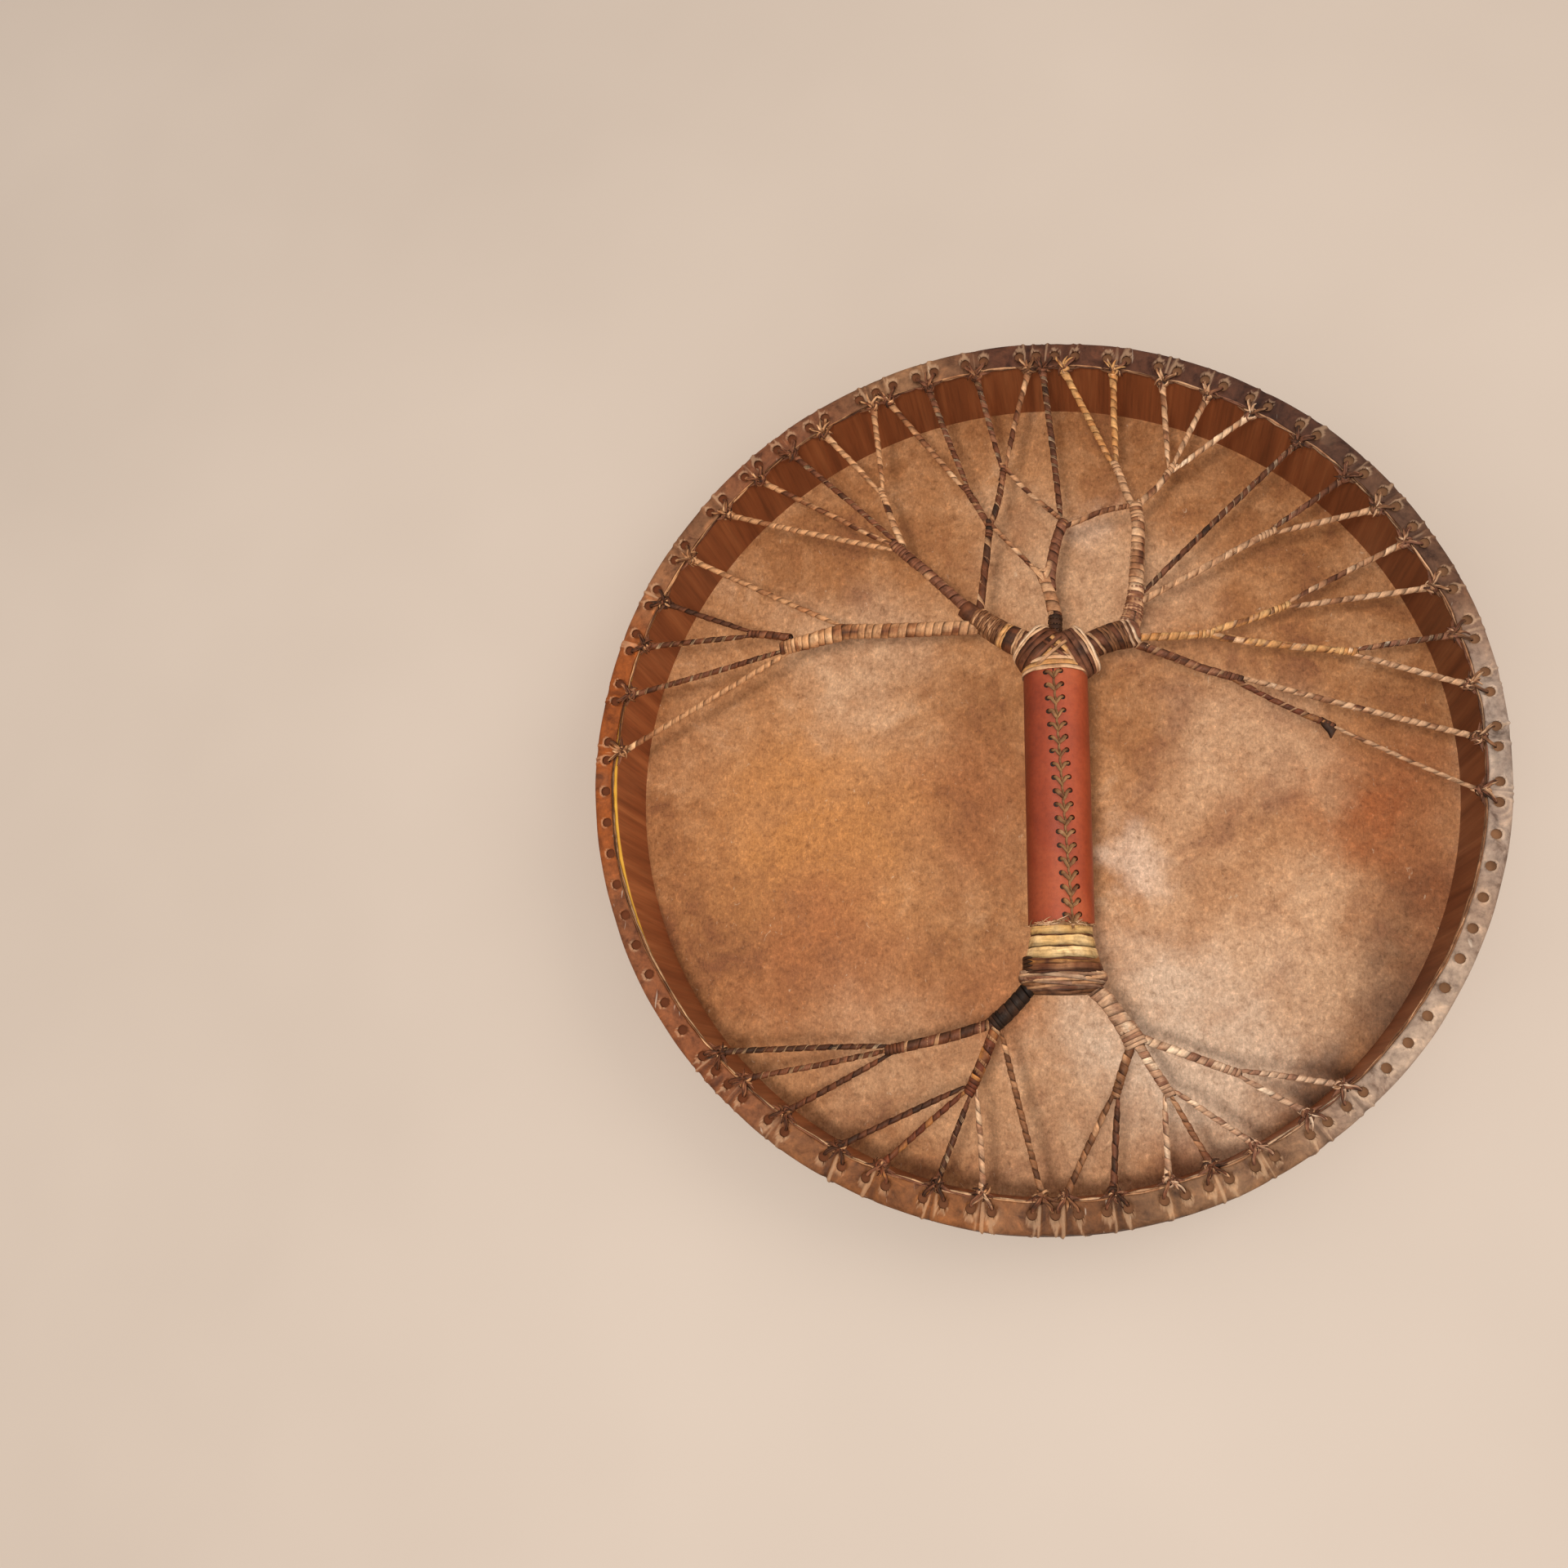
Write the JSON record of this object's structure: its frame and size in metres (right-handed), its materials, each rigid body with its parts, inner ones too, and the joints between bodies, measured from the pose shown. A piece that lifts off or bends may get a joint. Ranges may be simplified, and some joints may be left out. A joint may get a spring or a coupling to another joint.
{
  "type": "frame drum",
  "caption": "Round hand-held frame drum: one hide stretched over a shallow bent wood hoop, laced at the back with branching rawhide cords that meet in a leather-covered grip.",
  "frame": {"origin": "centre of the round playing face, on its outer surface", "axes": "+Z along the drum's axis, from the playing face to the laced back; +Y along the grip, towards the crown of branches; +X to the right seen from the back"},
  "size_m": [0.502, 0.502, 0.08],
  "materials": {
    "hoop_wood": "satin oiled wood, red-brown",
    "hide": "matt stretched hide, mottled taupe and orange-brown",
    "grip_leather": "smooth terracotta leather, soft sheen",
    "seam_cord": "olive-brown rawhide thong",
    "rawhide_pale": "dry cream rawhide strip",
    "rawhide_brown": "dry mid-brown rawhide strip",
    "rawhide_dark": "dry near-black rawhide strip",
    "rawhide_ochre": "dry ochre rawhide strip"
  },
  "bodies": {
    "root": {"hoop": "hoop_wood", "drumhead": "hide", "rim_cord": "rawhide_pale", "crown_knots": "rawhide_brown", "root_knots": "rawhide_brown", "handle_core": "rawhide_pale", "grip_sleeve": "grip_leather", "grip_lacing": "seam_cord", "trunk_collar": "rawhide_pale", "left_shoulder_binding": "rawhide_brown", "right_shoulder_binding": "rawhide_dark", "throat_binding": "rawhide_pale", "waist_binding": "rawhide_brown", "base_binding": "rawhide_pale", "crown_left_bough": "rawhide_brown", "crown_left_low_branch": "rawhide_pale", "crown_left_low_twig": "rawhide_dark", "crown_left_high_branch": "rawhide_brown", "crown_left_high_twig": "rawhide_pale", "crown_left_inner_branch": "rawhide_dark", "crown_left_inner_twigs": "rawhide_brown", "crown_cross_ties": "rawhide_brown", "crown_centre_branch": "rawhide_pale", "crown_right_bough": "rawhide_brown", "crown_right_high_branch": "rawhide_brown", "crown_right_high_twigs": "rawhide_pale", "crown_right_upper_branch": "rawhide_pale", "crown_right_middle_branch": "rawhide_ochre", "crown_right_middle_twigs": "rawhide_ochre", "crown_right_low_branch": "rawhide_dark", "crown_right_low_twig": "rawhide_brown", "root_right_bough": "rawhide_pale", "root_right_low_branch": "rawhide_pale", "root_right_middle_branch": "rawhide_pale", "root_right_inner_branch": "rawhide_brown", "root_left_bough": "rawhide_dark", "root_left_inner_branch": "rawhide_brown", "root_left_low_branch": "rawhide_dark", "left_low_laces": "rawhide_brown", "left_mid_laces": "rawhide_dark", "left_single_lace": "rawhide_pale", "left_high_laces": "rawhide_pale", "top_left_laces": "rawhide_pale", "top_inner_laces": "rawhide_brown", "top_middle_laces": "rawhide_brown", "top_single_lace": "rawhide_dark", "top_ochre_laces": "rawhide_ochre", "top_right_laces": "rawhide_pale", "right_single_lace": "rawhide_dark", "right_high_laces": "rawhide_brown", "right_mid_laces": "rawhide_brown", "right_low_laces": "rawhide_pale", "right_lowest_laces": "rawhide_pale", "root_right_laces": "rawhide_pale", "root_right_middle_laces": "rawhide_pale", "root_right_inner_laces": "rawhide_brown", "root_single_lace": "rawhide_pale", "root_left_inner_laces": "rawhide_brown", "root_left_laces": "rawhide_dark"}
  },
  "joints": []
}
